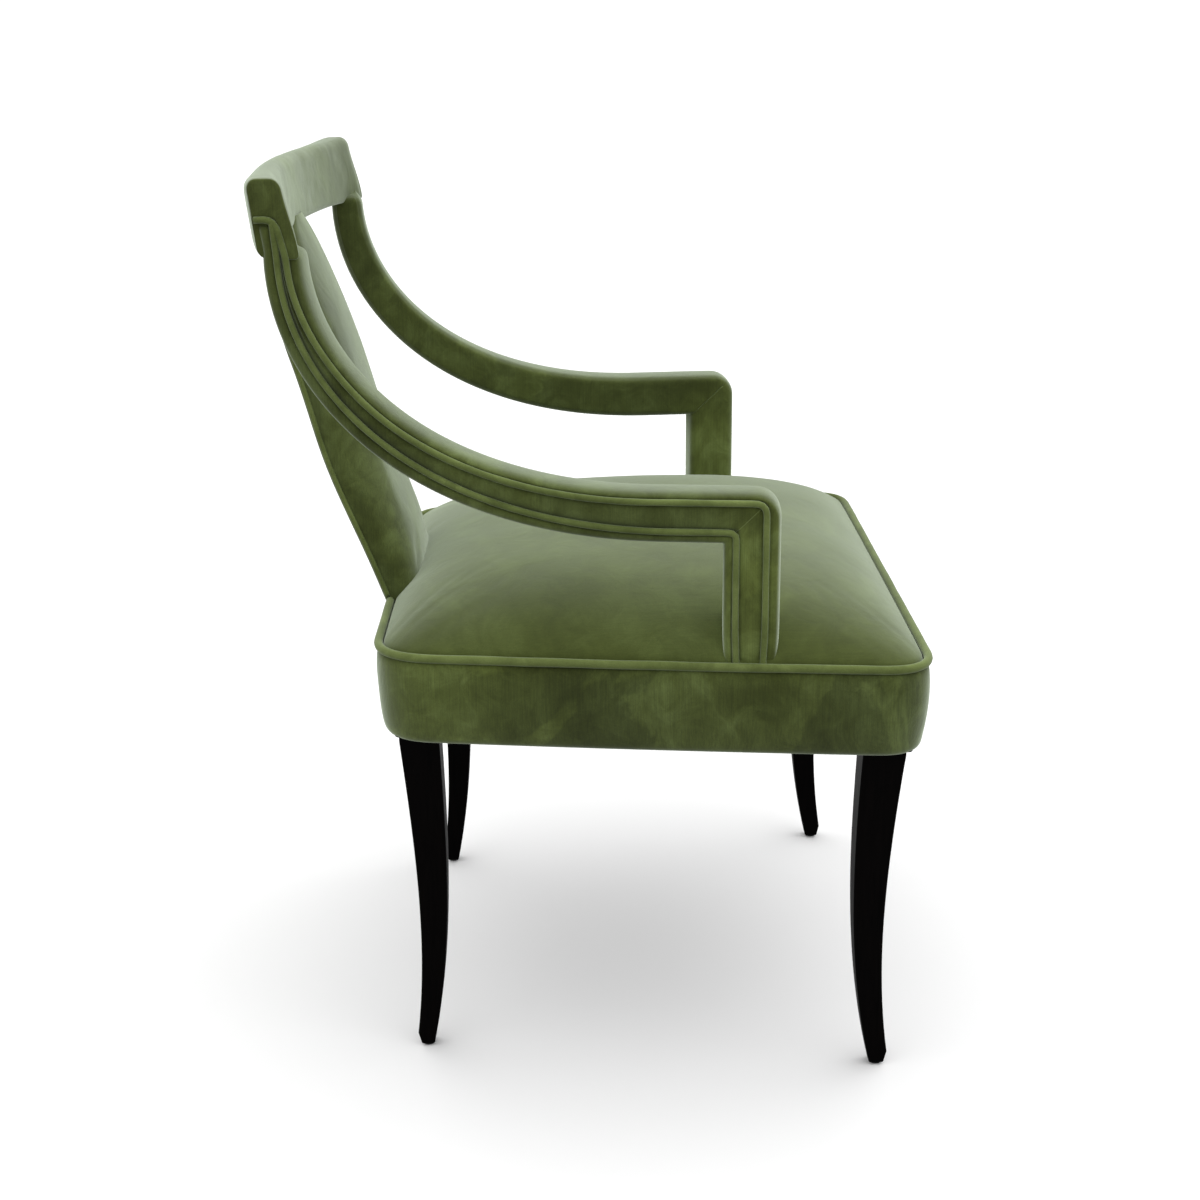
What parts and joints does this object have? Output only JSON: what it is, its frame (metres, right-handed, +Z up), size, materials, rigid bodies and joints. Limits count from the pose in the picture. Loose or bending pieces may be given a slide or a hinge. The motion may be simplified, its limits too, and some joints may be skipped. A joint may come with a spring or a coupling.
{
  "type": "upholstered dining armchair",
  "caption": "Upholstered dining armchair with sweeping padded arms that rise into a bowed top rail, a free-standing padded splat, a crowned piped seat and curved dark wooden legs.",
  "frame": {"origin": "on the floor, below the middle of the chair's overall width and depth", "axes": "+Z up, -Y towards the front, where the sitter faces, +X to the sitter's left"},
  "size_m": [0.659, 0.6519, 0.883],
  "materials": {
    "velvet": "olive green short-pile velvet",
    "piping": "cord covered in the same velvet",
    "lacquer": "black satin lacquer",
    "beech": "planed, unfinished",
    "foam": "cut foam",
    "webbing": "woven strap",
    "lining": "non-woven black cloth",
    "steel": "zinc plated",
    "nylon": "moulded glide"
  },
  "bodies": {
    "root": {"arm_bolt_lower_left": "steel", "arm_bolt_lower_right": "steel", "arm_bolt_upper_left": "steel", "arm_bolt_upper_right": "steel", "arm_cover_left": "velvet", "arm_cover_right": "velvet", "arm_piping_inner_left": "piping", "arm_piping_inner_right": "piping", "arm_piping_outer_left": "piping", "arm_piping_outer_right": "piping", "arm_post_core_left": "beech", "arm_post_core_right": "beech", "arm_strip_left": "velvet", "arm_strip_right": "velvet", "arm_sweep_core_left": "beech", "arm_sweep_core_right": "beech", "corner_block_front_left": "beech", "corner_block_front_right": "beech", "corner_block_rear_left": "beech", "corner_block_rear_right": "beech", "dust_cover": "lining", "glide_front_left": "nylon", "glide_front_right": "nylon", "glide_rear_left": "nylon", "glide_rear_right": "nylon", "leg_bolt_front_left": "steel", "leg_bolt_front_right": "steel", "leg_bolt_rear_left": "steel", "leg_bolt_rear_right": "steel", "leg_front_left": "lacquer", "leg_front_right": "lacquer", "leg_rear_left": "lacquer", "leg_rear_right": "lacquer", "rail_dowel_left": "beech", "rail_dowel_right": "beech", "seat_border_cover": "velvet", "seat_foam": "foam", "seat_piping": "piping", "seat_rail_front": "beech", "seat_rail_rear": "beech", "seat_rail_side_left": "beech", "seat_rail_side_right": "beech", "seat_top_cover": "velvet", "splat_back_panel": "velvet", "splat_board": "beech", "splat_front_pad": "velvet", "splat_piping_left": "piping", "splat_piping_right": "piping", "top_rail_core": "beech", "top_rail_cover": "velvet", "web_strap_across_1": "webbing", "web_strap_across_2": "webbing", "web_strap_across_3": "webbing", "web_strap_along_1": "webbing", "web_strap_along_2": "webbing", "web_strap_along_3": "webbing"}
  },
  "joints": []
}
